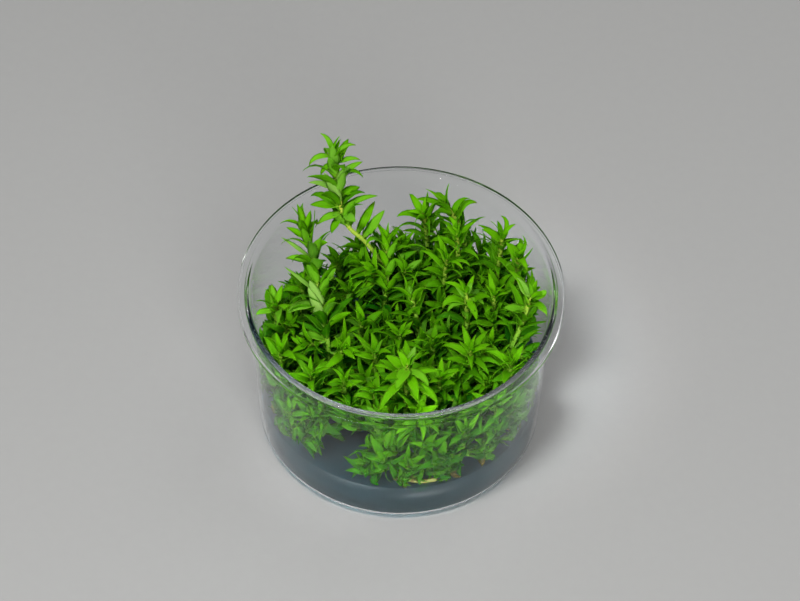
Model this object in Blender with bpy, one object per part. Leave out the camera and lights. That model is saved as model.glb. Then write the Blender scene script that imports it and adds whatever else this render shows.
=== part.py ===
"""A clear lidless culture cup with a bed of gel in which leafy aquarium plantlets are rooted.

The origin is the centre of the cup's foot, on the surface that it stands on. +Z is up and -Y is the front.
All named sizes are millimetres and degrees; MM turns them into metres when a mesh is made.
"""

import math

import bmesh
import bpy
import numpy as np
from mathutils import Vector

MM = 0.001
GAP = 0.3  # clearance between pieces that touch

# Cup
CUP_SEGMENTS = 36
CUP_HEIGHT = 60.0
RIM_RADIUS = 50.0
RIM_THICKNESS = 1.8
BEAD_HEIGHT = 0.6
BEAD_WIDTH = 1.1
BEAD_SLOPE = 0.3  # run of the slope from the bead down to the rim
WALL = 1.0
WALL_TOP_RADIUS = 46.8  # outside of the wall under the rim
WALL_FOOT_RADIUS = 44.5  # outside of the wall above the bottom corner
CORNER_HEIGHT = 2.6
FOOT_RADIUS = 42.6
FOOT_WIDTH = 1.8
FOOT_RECESS = 1.0
FOOT_SLOPE = 0.6
FLOOR_TOP = 2.2
INNER_CORNER_HEIGHT = 1.6
INNER_CORNER_WIDTH = 1.4
MOUTH_EASE = 0.6  # how far below the rim the inner wall starts to widen

# Gel
GEL_SEGMENTS = 24
GEL_TOP = 17.0
MENISCUS = 0.6
MENISCUS_WIDTH = 0.9
SOCKET_SIDES = 4
SOCKET_RADIUS = 1.85  # centre to corner
SOCKET_DEPTH = 4.5

# Plantlets
STEM_SIDES = 6
STEM_RADIUS = 0.75
PITCH = 4.9  # distance between leaf rings low on a stem
TIP_PITCH = 3.05  # the same below the growing tip
BUD = 1.6  # length of the pointed bud that ends a stem
LEAVES_IN_RING = 3
SPIRAL = 137.5  # turn from one leaf to the next
RING_TWIST = LEAVES_IN_RING * SPIRAL - 360 - 60  # turn of the stem's faces from one ring to the next
FACING = 17.5  # turns the stem's faces towards the middle of each ring's three leaves
LEAF_LENGTH = 9.8
LEAF_WIDTH = 2.9
LEAF_MIDDLE = 0.42  # where along its length a leaf is widest
KEEL = 0.45  # depth of the midrib below the leaf's edges
LEAF_ROOT = 0.8  # where a leaf leaves its stem, as a share of the stem's radius
LOW_RISE, TIP_RISE = 40.0, 18.0  # angle from the stem at which the lowest and the highest leaves start
LOW_FALL, TIP_FALL = 118.0, 56.0  # angle from the stem at which they end
TIP_LENGTH_LOSS = 0.48
TIP_WIDTH_LOSS = 0.4
SHAPE_EASE = 2.5  # power with which those losses set in towards the tip
FITS = ((1.0, 0), (0.88, 6), (0.78, 12), (0.68, 18), (0.58, 24))  # smaller and more upright leaves, tried in turn
CELL_MARGIN = 1.0  # how much nearer a leaf stays to its own stem than to the next
WALL_MARGIN = 0.5
GEL_MARGIN = 0.4
HEADSPACE_MARGIN = 0.4

# Spaces kept free of leaves, as lowest and highest corners
HEADSPACES = {
    "back": ((-8.0, 32.0, 42.0), (1.0, 41.0, 60.0)),
    "front_left": ((-22.0, -37.0, 18.5), (-10.0, -29.0, 60.0)),
}

# Each plantlet: leaf size against the common one, height of its lowest leaves, and the points that its stem
# passes from the gel to the tip
PLANTLETS = {
    "tall_shoot": (1.12, 34, (-3, 20, GEL_TOP), (-5, 21.5, 42), (-11, 23, 54), (-18, 25, 63.5), (-21.5, 34.5, 84)),
    "left_shoot": (1.18, 30, (-21, -8, GEL_TOP), (-22, -6, 38), (-24.5, 4, 48), (-27, 14, 57), (-30.5, 22.5, 64)),
    "front_shoot": (1.2, 25, (2, -29, GEL_TOP), (2, -28.5, 40), (2.3, -25, 55)),
    "back_shoot": (0.95, 27, (20, 28, GEL_TOP), (19.5, 31, 46), (13, 35, 60)),
    "back_side_shoot": (0.95, 27, (8, 30, GEL_TOP), (8, 32, 42), (6.5, 33, 57)),
    "inner_right_shoot": (0.95, 29, (18, 21, GEL_TOP), (18, 22, 40), (17, 25, 56)),
    "inner_shoot": (0.9, 29, (12, 14, GEL_TOP), (13, 16, 38), (14, 18.4, 53)),
    "corner_shoot": (0.95, 27, (29, 21, GEL_TOP), (30, 22, 40), (31, 24.3, 57)),
    "right_back_shoot": (0.95, 26, (35, 13.5, GEL_TOP), (35.5, 16, 38), (36, 19, 54)),
    "right_shoot": (1.1, 27, (32.5, -3, GEL_TOP), (34, -2, 33), (37, 0.5, 42), (40, 5, 52)),
    "curled_shoot": (1.0, 28, (20, 1, GEL_TOP), (20.5, 2, 38), (20, 6, 52)),
    "right_inner_shoot": (0.9, 27, (28, 5, GEL_TOP), (28.5, 6.5, 36), (28.8, 8, 48)),
    "middle_shoot": (0.95, 27, (6, 2, GEL_TOP), (5.5, 4, 36), (3, 9, 47)),
    "rear_shoot": (0.95, 28, (-7, 10, GEL_TOP), (-5, 13, 38), (-4.3, 19, 48), (-4.4, 24, 55)),
    "right_front_shoot": (1.0, 26, (33, -15, GEL_TOP), (34, -16, 46)),
    "inner_front_shoot": (1.0, 27, (21, -13, GEL_TOP), (21.5, -15, 50)),
    "left_front_shoot": (1.05, 24, (-34, -14, GEL_TOP), (-36, -13, 34), (-36.5, -12, 44)),
    "left_wall_shoot": (0.95, 24, (-35, 4, GEL_TOP), (-38, 4, 34), (-38.5, 5, 46)),
    "low_shoot_01": (0.9, 24, (-29, 15, GEL_TOP), (-31, 16, 42)),
    "low_shoot_02": (0.9, 26, (-15, 13, GEL_TOP), (-16, 14, 42)),
    "low_shoot_03": (0.9, 24, (-19, 28, GEL_TOP), (-20, 28, 39)),
    "low_shoot_04": (0.9, 26, (-12, 0, GEL_TOP), (-12, 1, 43)),
    "low_shoot_05": (0.9, 23, (-7, -24, GEL_TOP), (-7.5, -24, 41)),
    "low_shoot_06": (0.9, 23, (-16, -19, GEL_TOP), (-17, -20, 40)),
    "low_shoot_07": (0.95, 23, (-25, -20, GEL_TOP), (-27, -19, 42)),
    "low_shoot_08": (0.95, 26, (-7, -12, GEL_TOP), (-7.5, -12, 44)),
    "low_shoot_09": (0.95, 24, (12, -21, GEL_TOP), (12.5, -22, 46)),
    "low_shoot_10": (0.95, 22, (28, -25, GEL_TOP), (30, -26, 38)),
    "low_shoot_11": (0.9, 21, (19, -32, GEL_TOP), (20.5, -33, 35)),
    "low_shoot_12": (0.9, 26, (11, -8, GEL_TOP), (10, -5.5, 42)),
    "low_shoot_13": (0.9, 26, (-1, -4, GEL_TOP), (0, -3, 42)),
    "low_shoot_14": (0.85, 21, (-2, -37, GEL_TOP), (-1, -37, 31)),
    "low_shoot_15": (0.85, 21, (9.5, -33, GEL_TOP), (10, -33, 34)),
    "low_shoot_16": (0.9, 22, (-32, -25, GEL_TOP), (-33, -25.5, 33)),
    "low_shoot_17": (0.9, 26, (4, 21, GEL_TOP), (4, 22, 42)),
    "low_shoot_18": (0.9, 25, (27, -5, GEL_TOP), (27.5, -5, 41)),
}
TURN_BETWEEN_PLANTLETS = 97.0  # where the first leaf points changes by this much from one to the next

# A cut length of old stem lying on the gel at the front
OLD_STEM = ((2.2, -40.2, 18.1), (7.0, -41.0, 18.2), (12.0, -40.0, 18.1))
OLD_STEM_RADIUS = 0.7
OLD_STEM_STEPS = 2  # steps between two of its points

SHARP_ANGLE = 35.0  # edges that turn by more stay sharp where a piece is shaded smooth

# Colour and roughness of each finish
FINISHES = {
    "cup": ((0.86, 0.90, 0.92, 1.0), 0.08),
    "gel": ((0.55, 0.66, 0.72, 1.0), 0.30),
    "leaf": ((0.16, 0.42, 0.02, 1.0), 0.45),
    "old_stem": ((0.52, 0.50, 0.14, 1.0), 0.55),
}


def clear_scene():
    for obj in list(bpy.data.objects):
        bpy.data.objects.remove(obj, do_unlink=True)


def material(name, finish):
    """A piece's own Principled material."""
    made = bpy.data.materials.new(f"{name}_{finish}")
    made.use_nodes = True
    colour, roughness = FINISHES[finish]
    shader = made.node_tree.nodes["Principled BSDF"]
    shader.inputs["Base Color"].default_value = colour
    shader.inputs["Roughness"].default_value = roughness
    shader.inputs["Metallic"].default_value = 0.0
    return made


def finished(name, mesh_builder, finish):
    """Turns a bmesh in millimetres into a named object in metres, shaded smooth but for its sharp edges."""
    bmesh.ops.scale(mesh_builder, vec=(MM, MM, MM), verts=mesh_builder.verts)
    mesh = bpy.data.meshes.new(name)
    mesh_builder.to_mesh(mesh)
    mesh_builder.free()
    mesh.materials.append(material(name, finish))
    mesh.shade_smooth()
    mesh.set_sharp_from_angle(angle=math.radians(SHARP_ANGLE))
    obj = bpy.data.objects.new(name, mesh)
    bpy.context.scene.collection.objects.link(obj)
    return obj


def turned(profile, segments):
    """A closed body turned about Z from (radius, height) points that start and end on the axis."""
    shape = bmesh.new()
    points = [shape.verts.new((radius, 0, height)) for radius, height in profile]
    edges = [shape.edges.new(pair) for pair in zip(points, points[1:])]
    bmesh.ops.spin(
        shape,
        geom=points + edges,
        cent=(0, 0, 0),
        axis=(0, 0, 1),
        angle=2 * math.pi,
        steps=segments,
        use_merge=True,
        use_duplicate=False,
    )
    bmesh.ops.remove_doubles(shape, verts=shape.verts, dist=1e-4)
    bmesh.ops.recalc_face_normals(shape, faces=shape.faces)
    return shape


def inner_radius(height):
    """Radius of the cup's inner face at a height."""
    top = CUP_HEIGHT - RIM_THICKNESS - BEAD_HEIGHT
    share = (height - CORNER_HEIGHT) / (top - CORNER_HEIGHT)
    return WALL_FOOT_RADIUS + (WALL_TOP_RADIUS - WALL_FOOT_RADIUS) * share - WALL


def make_cup():
    flange_top = CUP_HEIGHT - BEAD_HEIGHT
    flange_foot = flange_top - RIM_THICKNESS
    bead_outer = WALL_TOP_RADIUS + BEAD_WIDTH / 2
    corner = FLOOR_TOP + INNER_CORNER_HEIGHT
    profile = [
        (0, FOOT_RECESS),
        (FOOT_RADIUS - FOOT_WIDTH - FOOT_SLOPE, FOOT_RECESS),
        (FOOT_RADIUS - FOOT_WIDTH, 0),
        (FOOT_RADIUS, 0),
        (WALL_FOOT_RADIUS, CORNER_HEIGHT),
        (WALL_TOP_RADIUS, flange_foot),
        (RIM_RADIUS, flange_foot),
        (RIM_RADIUS, flange_top),
        (bead_outer + BEAD_SLOPE, flange_top),
        (bead_outer, CUP_HEIGHT),
        (bead_outer - BEAD_WIDTH, CUP_HEIGHT),
        (inner_radius(flange_foot), flange_foot - MOUTH_EASE),
        (inner_radius(corner), corner),
        (inner_radius(corner) - INNER_CORNER_WIDTH, FLOOR_TOP),
        (0, FLOOR_TOP),
    ]
    return finished("cup", turned(profile, CUP_SEGMENTS), "cup")


def make_gel(feet):
    """The gel fills the bottom of the cup, climbs a little at the wall, and has a socket for each stem."""
    floor = FLOOR_TOP + GAP
    corner = floor + INNER_CORNER_HEIGHT
    edge = inner_radius(GEL_TOP) - GAP
    profile = [
        (0, floor),
        (inner_radius(corner) - GAP - INNER_CORNER_WIDTH, floor),
        (inner_radius(corner) - GAP, corner),
        (edge, GEL_TOP + MENISCUS),
        (edge - MENISCUS_WIDTH, GEL_TOP),
        (0, GEL_TOP),
    ]
    gel = finished("gel", turned(profile, GEL_SEGMENTS), "gel")
    cutters = bmesh.new()
    for foot in feet:
        made = bmesh.ops.create_cone(
            cutters,
            cap_ends=True,
            segments=SOCKET_SIDES,
            radius1=SOCKET_RADIUS,
            radius2=SOCKET_RADIUS,
            depth=2 * SOCKET_DEPTH,
        )
        bmesh.ops.translate(cutters, verts=made["verts"], vec=foot)
    cutter = finished("socket_cutters", cutters, "gel")
    cutter.hide_render = True
    cutter.display_type = "WIRE"
    sockets = gel.modifiers.new("sockets", "BOOLEAN")
    sockets.operation = "DIFFERENCE"
    sockets.object = cutter
    sockets.solver = "EXACT"
    return gel


def curve(points, steps=12):
    """A smooth curve through points: between each two, a cubic whose ends run along their neighbours' chord."""
    given = np.array(points, dtype=float)
    padded = np.concatenate([[2 * given[0] - given[1]], given, [2 * given[-1] - given[-2]]])
    t = np.linspace(0, 1, steps, endpoint=False)[:, None]
    spans = []
    for before, here, after, beyond in zip(padded, padded[1:], padded[2:], padded[3:]):
        leave, arrive = 0.5 * (after - before), 0.5 * (beyond - here)
        spans.append(
            (2 * t**3 - 3 * t**2 + 1) * here
            + (t**3 - 2 * t**2 + t) * leave
            + (3 * t**2 - 2 * t**3) * after
            + (t**3 - t**2) * arrive
        )
    return np.concatenate(spans + [given[-1:]])


def walk(points, stations):
    """The points at given lengths along a polyline."""
    length = np.concatenate([[0], np.cumsum(np.linalg.norm(np.diff(points, axis=0), axis=1))])
    return np.stack([np.interp(stations, length, points[:, i]) for i in range(3)], axis=1)


def plan_stems():
    """Every plantlet as a dict with its stem's axis."""
    stems = []
    for number, (name, (size, leaf_start, *points)) in enumerate(PLANTLETS.items()):
        turn = number * TURN_BETWEEN_PLANTLETS % 360
        stems.append({"name": name, "axis": curve(points), "size": size, "leaf_start": leaf_start, "turn": turn})
    return stems


def near_box(points, margin):
    """True if a point comes within a margin of a headspace."""
    for low, high in HEADSPACES.values():
        away = np.maximum(np.array(low) - points, points - np.array(high)).max(axis=1)
        if (away < margin).any():
            return True
    return False


def frames(points):
    """Unit axis, side and front directions at each point of a stem, carried along without twist."""
    ahead = np.gradient(points, axis=0)
    ahead /= np.linalg.norm(ahead, axis=1)[:, None]
    side = np.zeros_like(points)
    side[0] = np.cross((0, 1, 0), ahead[0])
    for i in range(1, len(points)):
        side[i] = side[i - 1] - (side[i - 1] @ ahead[i]) * ahead[i]
    side -= (side * ahead).sum(axis=1)[:, None] * ahead
    side /= np.linalg.norm(side, axis=1)[:, None]
    return ahead, side, np.cross(ahead, side)


def stations_of(stem):
    """Lengths along the stem's axis of its leaf rings, closer towards the tip."""
    axis = stem["axis"]
    length = np.concatenate([[0], np.cumsum(np.linalg.norm(np.diff(axis, axis=0), axis=1))])
    start = float(np.interp(stem["leaf_start"], axis[:, 2], length))
    leafy = length[-1] - start
    count = max(3, round(2 * leafy / (stem["size"] * (PITCH + TIP_PITCH))))
    share = np.linspace(0, 1, count + 1)
    eased = share * (1 + (PITCH - TIP_PITCH) / (PITCH + TIP_PITCH) * (1 - share))
    return start + leafy * eased


def midrib(base, ahead, outward, length, rise, fall, share):
    """A point along a leaf whose midrib turns evenly from rise to fall degrees away from the stem's axis."""
    a, b = math.radians(rise), math.radians(fall - rise)
    along = (math.sin(a + b * share) - math.sin(a)) / b
    away = (math.cos(a) - math.cos(a + b * share)) / b
    return base + length * (along * ahead + away * outward)


def leaf_points(base, ahead, outward, length, width, rise, fall):
    """The leaf's left edge, right edge and keel where it is widest, and its tip."""
    across = np.cross(ahead, outward)
    turn = math.radians(rise + (fall - rise) * LEAF_MIDDLE)
    under = math.sin(turn) * ahead - math.cos(turn) * outward
    middle = midrib(base, ahead, outward, length, rise, fall, LEAF_MIDDLE)
    tip = midrib(base, ahead, outward, length, rise, fall, 1.0)
    return np.array(
        [middle - 0.5 * width * across, middle + 0.5 * width * across, middle - KEEL * under, tip]
    )


def free(points, own, axes):
    """True if the points clear the cup, the gel and the headspaces and are nearest to their own stem."""
    radius = np.hypot(points[:, 0], points[:, 1])
    height = points[:, 2]
    inside = np.minimum(height, CUP_HEIGHT - RIM_THICKNESS)
    limit = np.where(height < CUP_HEIGHT + 1.0, inner_radius(inside), RIM_RADIUS + 0.2) - WALL_MARGIN
    if (radius > limit).any() or (height < GEL_TOP + MENISCUS + GEL_MARGIN).any():
        return False
    if near_box(points, HEADSPACE_MARGIN):
        return False
    apart = np.array([np.linalg.norm(points[:, None] - axis[None], axis=2).min(axis=1) for axis in axes])
    others = np.delete(apart, own, axis=0).min(axis=0)
    return bool((others - apart[own] > CELL_MARGIN).all())


def fitted_leaf(base, ahead, outward, share, size, own, axes):
    """The largest leaf that fits at this place, or None. Share runs from 0 at the first ring to 1 at the tip."""
    length = LEAF_LENGTH * size * (1 - TIP_LENGTH_LOSS * share**SHAPE_EASE)
    width = LEAF_WIDTH * (1 - TIP_WIDTH_LOSS * share**SHAPE_EASE)
    rise = LOW_RISE + (TIP_RISE - LOW_RISE) * share
    fall = LOW_FALL + (TIP_FALL - LOW_FALL) * share**1.5
    for shrink, upright in FITS:
        narrowed = width * (0.4 + 0.6 * shrink)
        points = leaf_points(
            base, ahead, outward, length * shrink, narrowed, rise - upright / 2, fall - 2 * upright
        )
        if free(points, own, axes):
            return points
    return None


def ring_of(shape, centre, side, front, twist):
    """Corners of the stem at one place. Face m of the stem is centred on the twist plus m sixths of a turn."""
    step = 2 * math.pi / STEM_SIDES
    angles = math.radians(twist) + step * (np.arange(STEM_SIDES) - 0.5)
    return [
        shape.verts.new(Vector(centre + STEM_RADIUS * (math.cos(a) * side + math.sin(a) * front))) for a in angles
    ]


def grow_leaf(shape, face, low, points):
    """Draws a stem face out into a keeled blade that ends in a point. low holds the ring below the face."""
    drawn = bmesh.ops.extrude_discrete_faces(shape, faces=[face])["faces"][0]
    centre = face_centre(drawn)
    left, right, keel, tip = (Vector(p) for p in points)
    upper = [v for v in drawn.verts if min((v.co - w.co).length for w in low) > 1e-6]
    lower = [v for v in drawn.verts if v not in upper]
    upper.sort(key=lambda v: (v.co - centre).dot(right - left))
    upper[0].co, upper[1].co = left, right
    bmesh.ops.pointmerge(shape, verts=lower, merge_co=keel)
    blade = [f for f in shape.faces if len(f.verts) == 3 and set(upper) <= set(f.verts)]
    end = bmesh.ops.extrude_discrete_faces(shape, faces=blade[:1])["faces"][0]
    bmesh.ops.pointmerge(shape, verts=list(end.verts), merge_co=tip)


def face_centre(face):
    return sum((v.co for v in face.verts), Vector()) / len(face.verts)


def make_shoot(stem, own, axes):
    """One plantlet: a six-sided stem from its socket to a pointed bud, with leaves drawn out of its faces."""
    stations = stations_of(stem)
    foot = stem["axis"][0]
    leafy = walk(stem["axis"], stations)
    slope = (leafy[0] - foot) / (leafy[0, 2] - foot[2])
    centres = np.concatenate([[foot - (SOCKET_DEPTH - GAP) * slope], leafy])
    ahead, side, front = frames(centres)
    shape = bmesh.new()
    rings = []
    for i, centre in enumerate(centres):
        twist = stem["turn"] + FACING + RING_TWIST * max(i - 1, 0)
        rings.append(ring_of(shape, centre, side[i], front[i], twist))
    shape.faces.new(rings[0][::-1])
    walls = {}
    for i in range(len(rings) - 1):
        for m in range(STEM_SIDES):
            n = (m + 1) % STEM_SIDES
            walls[i, m] = shape.faces.new((rings[i][m], rings[i][n], rings[i + 1][n], rings[i + 1][m]))
    bud = shape.verts.new(Vector(centres[-1] + BUD * ahead[-1]))
    for m in range(STEM_SIDES):
        shape.faces.new((rings[-1][m], rings[-1][(m + 1) % STEM_SIDES], bud))
    count = len(leafy) - 1
    for ring in range(count):
        above = ring + 2
        for j in range(LEAVES_IN_RING):
            m = (ring + 2 * j) % STEM_SIDES
            azimuth = math.radians(stem["turn"] + SPIRAL * (LEAVES_IN_RING * ring + j))
            outward = math.cos(azimuth) * side[above] + math.sin(azimuth) * front[above]
            base = centres[above] + LEAF_ROOT * STEM_RADIUS * outward
            share = ring / max(count - 1, 1)
            points = fitted_leaf(base, ahead[above], outward, share, stem["size"], own, axes)
            if points is not None:
                grow_leaf(shape, walls[above - 1, m], rings[above - 1], points)
    bmesh.ops.recalc_face_normals(shape, faces=shape.faces)
    return finished(stem["name"], shape, "leaf")


def make_old_stem():
    """The cut length of old stem, a short six-sided rod along its own curve."""
    centres = curve(OLD_STEM, OLD_STEM_STEPS)
    _, side, front = frames(centres)
    angles = 2 * math.pi * np.arange(STEM_SIDES) / STEM_SIDES
    shape = bmesh.new()
    rings = []
    for i, centre in enumerate(centres):
        corners = [centre + OLD_STEM_RADIUS * (math.cos(a) * side[i] + math.sin(a) * front[i]) for a in angles]
        rings.append([shape.verts.new(Vector(corner)) for corner in corners])
    for low, high in zip(rings, rings[1:]):
        for m in range(STEM_SIDES):
            n = (m + 1) % STEM_SIDES
            shape.faces.new((low[m], low[n], high[n], high[m]))
    shape.faces.new(rings[0][::-1])
    shape.faces.new(rings[-1])
    bmesh.ops.recalc_face_normals(shape, faces=shape.faces)
    return finished("old_stem", shape, "old_stem")


def main():
    clear_scene()
    make_cup()
    stems = plan_stems()
    make_gel([Vector(stem["axis"][0]) for stem in stems])
    axes = [stem["axis"] for stem in stems] + [curve(OLD_STEM)]
    for own, stem in enumerate(stems):
        make_shoot(stem, own, axes)
    make_old_stem()


main()
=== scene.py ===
"""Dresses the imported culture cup: a clear moulded cup, milky gel and a bed of leafy tonina plantlets.

Lengths in the tables are millimetres and angles are degrees. The origin is the centre of the cup's foot, +Z
is up and -Y is the front. The file is laid out as an add-on whose operators make one group of pieces each.
"""

import math

import bpy
import numpy as np
from bpy.props import FloatProperty, FloatVectorProperty, IntProperty, PointerProperty
from bpy.types import Operator, Panel, PropertyGroup
from mathutils import Matrix, Vector


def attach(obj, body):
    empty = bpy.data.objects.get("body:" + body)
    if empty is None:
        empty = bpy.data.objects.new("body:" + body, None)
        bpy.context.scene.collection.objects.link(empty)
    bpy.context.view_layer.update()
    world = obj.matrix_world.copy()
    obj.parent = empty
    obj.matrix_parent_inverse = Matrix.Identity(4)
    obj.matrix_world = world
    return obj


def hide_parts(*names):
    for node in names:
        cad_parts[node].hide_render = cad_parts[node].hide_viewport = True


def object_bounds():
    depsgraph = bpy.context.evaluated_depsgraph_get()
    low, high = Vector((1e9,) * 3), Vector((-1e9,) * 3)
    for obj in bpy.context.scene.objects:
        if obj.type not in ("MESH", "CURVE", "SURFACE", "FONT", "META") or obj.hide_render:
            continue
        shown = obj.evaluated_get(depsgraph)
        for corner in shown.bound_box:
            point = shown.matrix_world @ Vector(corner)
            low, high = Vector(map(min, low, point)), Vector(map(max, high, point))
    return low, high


bl_info = {
    "name": "Culture Cup Plantlets",
    "version": (1, 0, 0),
    "blender": (4, 5, 0),
    "location": "3D View > Sidebar > Culture Cup",
    "description": "Makes a clear culture cup with gel and leafy plantlets around a fixed frame",
    "category": "Object",
}

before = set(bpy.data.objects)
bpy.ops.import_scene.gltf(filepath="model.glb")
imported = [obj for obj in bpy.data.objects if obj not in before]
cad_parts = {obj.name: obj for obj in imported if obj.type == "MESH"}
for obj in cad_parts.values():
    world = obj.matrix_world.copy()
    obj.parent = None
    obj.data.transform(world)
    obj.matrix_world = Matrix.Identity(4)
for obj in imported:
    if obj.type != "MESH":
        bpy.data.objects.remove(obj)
CAD_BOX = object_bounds()

MM = 0.001
ROOT = "root"

# Cup, from the middle of its underside to that of its floor, as (radius, height, reach of the rounding)
CUP_OUTLINE = [
    (0, 1, 0),
    (39.9, 1, 0.6),
    (40.8, 0, 0.3),
    (42.5, 0, 0.5),
    (44.4, 2.2, 1.4),
    (46.7, 57.4, 0.6),
    (47.2, 58.3, 0.4),
    (49.2, 58.3, 0.2),
    (49.4, 57.6, 0.1),
    (49.9, 57.6, 0.2),
    (50, 59.35, 0.4),
    (47.7, 59.35, 0.3),
    (47.4, 60, 0.35),
    (46.3, 60, 0.35),
    (45.8, 58.6, 0.6),
    (43.56, 3.9, 1.3),
    (42.1, 2.2, 1.2),
    (0, 2.2, 0),
]
WALL_FOOT = (43.5, 2.6)  # radius and height of the inner wall's lower end
WALL_HEAD = (45.8, 57.6)  # the same under the rim
MOUTH = WALL_HEAD[1] + 3.0  # the wall holds leaves up to this height

GEL_TOP = 17.0
GEL_FOOT = [(0, 2.25, 0), (42.0, 2.25, 1.2), (43.45, 3.9, 1.2)]  # its outline up to the wall, as the cup's
GEL_GAP = 0.05  # between gel and wall
GEL_CLIMB = (6.0, 1.2)  # width in which the gel climbs to the wall, and length in which the climb fades
GEL_SEGMENTS = 120

# Each plantlet: leaf size against the common one, where its stem leaves the gel, and the points that the stem
# passes from there to the tip
PLANTLETS = {
    "tall_shoot": (1.08, (-3, 20), (-5, 21.5, 42), (-11, 23, 54), (-18, 25, 63.5), (-21.5, 34.5, 84)),
    "left_shoot": (1.08, (-21, -8), (-22, -6, 38), (-24.5, 4, 48), (-27, 14, 57), (-30.5, 22.5, 64)),
    "front_shoot": (1.1, (2, -29), (2, -28.5, 40), (2.3, -25, 55)),
    "back_shoot": (0.95, (20, 28), (19.5, 31, 46), (13, 35, 60)),
    "back_side_shoot": (0.95, (8, 30), (8, 32, 42), (6.5, 33, 57)),
    "inner_right_shoot": (0.95, (18, 21), (18, 22, 40), (17, 25, 56)),
    "inner_shoot": (0.9, (12, 14), (13, 16, 38), (14, 18.4, 53)),
    "corner_shoot": (0.95, (29, 21), (30, 22, 40), (31, 24.3, 57)),
    "right_back_shoot": (0.95, (35, 13.5), (35.5, 16, 38), (36, 19, 54)),
    "right_shoot": (1.1, (32.5, -3), (34, -2, 33), (37, 0.5, 42), (40, 5, 52)),
    "curled_shoot": (1.0, (20, 1), (20.5, 2, 38), (20, 6, 52)),
    "right_inner_shoot": (0.9, (28, 5), (28.5, 6.5, 36), (28.8, 8, 48)),
    "middle_shoot": (0.95, (6, 2), (5.5, 4, 36), (3, 9, 47)),
    "rear_shoot": (0.95, (-7, 10), (-5, 13, 38), (-4.3, 19, 48), (-4.4, 24, 55)),
    "right_front_shoot": (1.0, (33, -15), (34, -16, 46)),
    "inner_front_shoot": (1.0, (21, -13), (21.5, -15, 50)),
    "left_front_shoot": (1.05, (-34, -14), (-36, -13, 34), (-36.5, -12, 44)),
    "left_wall_shoot": (0.95, (-35, 4), (-38, 4, 34), (-38.5, 5, 46)),
}
LOW_SHOOTS = [
    (0.9, (-29, 15), (-31, 16, 42)),
    (0.9, (-15, 13), (-16, 14, 42)),
    (0.9, (-19, 28), (-20, 28, 39)),
    (0.9, (-12, 0), (-12, 1, 43)),
    (0.9, (-7, -24), (-7.5, -24, 41)),
    (0.9, (-16, -19), (-17, -20, 40)),
    (0.95, (-25, -20), (-27, -19, 42)),
    (0.95, (-7, -12), (-7.5, -12, 44)),
    (0.95, (12, -21), (12.5, -22, 46)),
    (0.95, (28, -25), (30, -26, 38)),
    (0.9, (19, -32), (20.5, -33, 35)),
    (0.9, (11, -8), (10, -5.5, 42)),
    (0.9, (-1, -4), (0, -3, 42)),
    (0.85, (-2, -37), (-1, -37, 31)),
    (0.85, (9.5, -33), (10, -33, 34)),
    (0.9, (-32, -25), (-33, -25.5, 33)),
    (0.9, (4, 21), (4, 22, 42)),
    (0.9, (27, -5), (27.5, -5, 41)),
]
PLANTLETS |= {f"low_shoot_{number:02d}": row for number, row in enumerate(LOW_SHOOTS, 1)}
BARE_STEMS = {"tall_shoot": (42, 60)}  # heights between which a stem has no leaves but the shown ones
NOT_BARE = (0, 0)

# Side shoots that show most, each from its plantlet's stem to its tip
SHOWN_SIDE_SHOOTS = {
    "tall_shoot": [
        ((-4, 20.8, 30), (-9, 25, 39), (-13.5, 29, 45)),
        ((-4.4, 21, 36), (-8, 20, 43), (-13, 20.5, 48)),
    ],
}
TURN_BETWEEN_PLANTLETS = 97.0
SPIRAL = 137.5
SOCKET_DEPTH = 4.0

# Side shoots placed by chance, as (rounds, reach, climb): the common ones, and those towards the wall
SIDE_SHOOTS = (6, (4.0, 8.0), (2.0, 10.0))
SKIRT_SHOOTS = (7, (5.0, 10.0), (-2.5, 3.5))
SKIRT_RADIUS = 26.0  # stems that stand farther out than this also have shoots towards the wall
SHOOT_FOOT = 18.0  # lowest height at which a side shoot starts
SHOOT_RADIUS = 42.6  # how far out its tip may be
SHOOT_ROOM = 1.2  # from its tip to any stem or free space

# How far leaves stay from the wall, other stems and free spaces, and how deep they go into the gel
WALL_GAP = 0.5
STEM_GAP = 1.0
SPACE_GAP = 0.3
DIP = 2.0
LEAF_TO_WALL = 0.3  # between the wall and a leaf that lies along it
WALL_EASE = 1.2  # lengths over which leaves that reach the wall or the gel are bent along it
GEL_EASE = 0.7
MOST_TROUBLE = 4.0  # a leaf that can't stand freer than this is left out

# Ways to make a leaf stand freer: change of its fall and sway in radians, and share of its length
LEAF_TRIES = [
    (0, 0, 1),
    (-0.7, 0, 1),
    (0, 0.9, 1),
    (0, -0.9, 1),
    (-0.5, 0.7, 0.8),
    (-0.5, -0.7, 0.8),
    (0, 0, 0.6),
    (-0.9, 0, 0.5),
]

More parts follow.
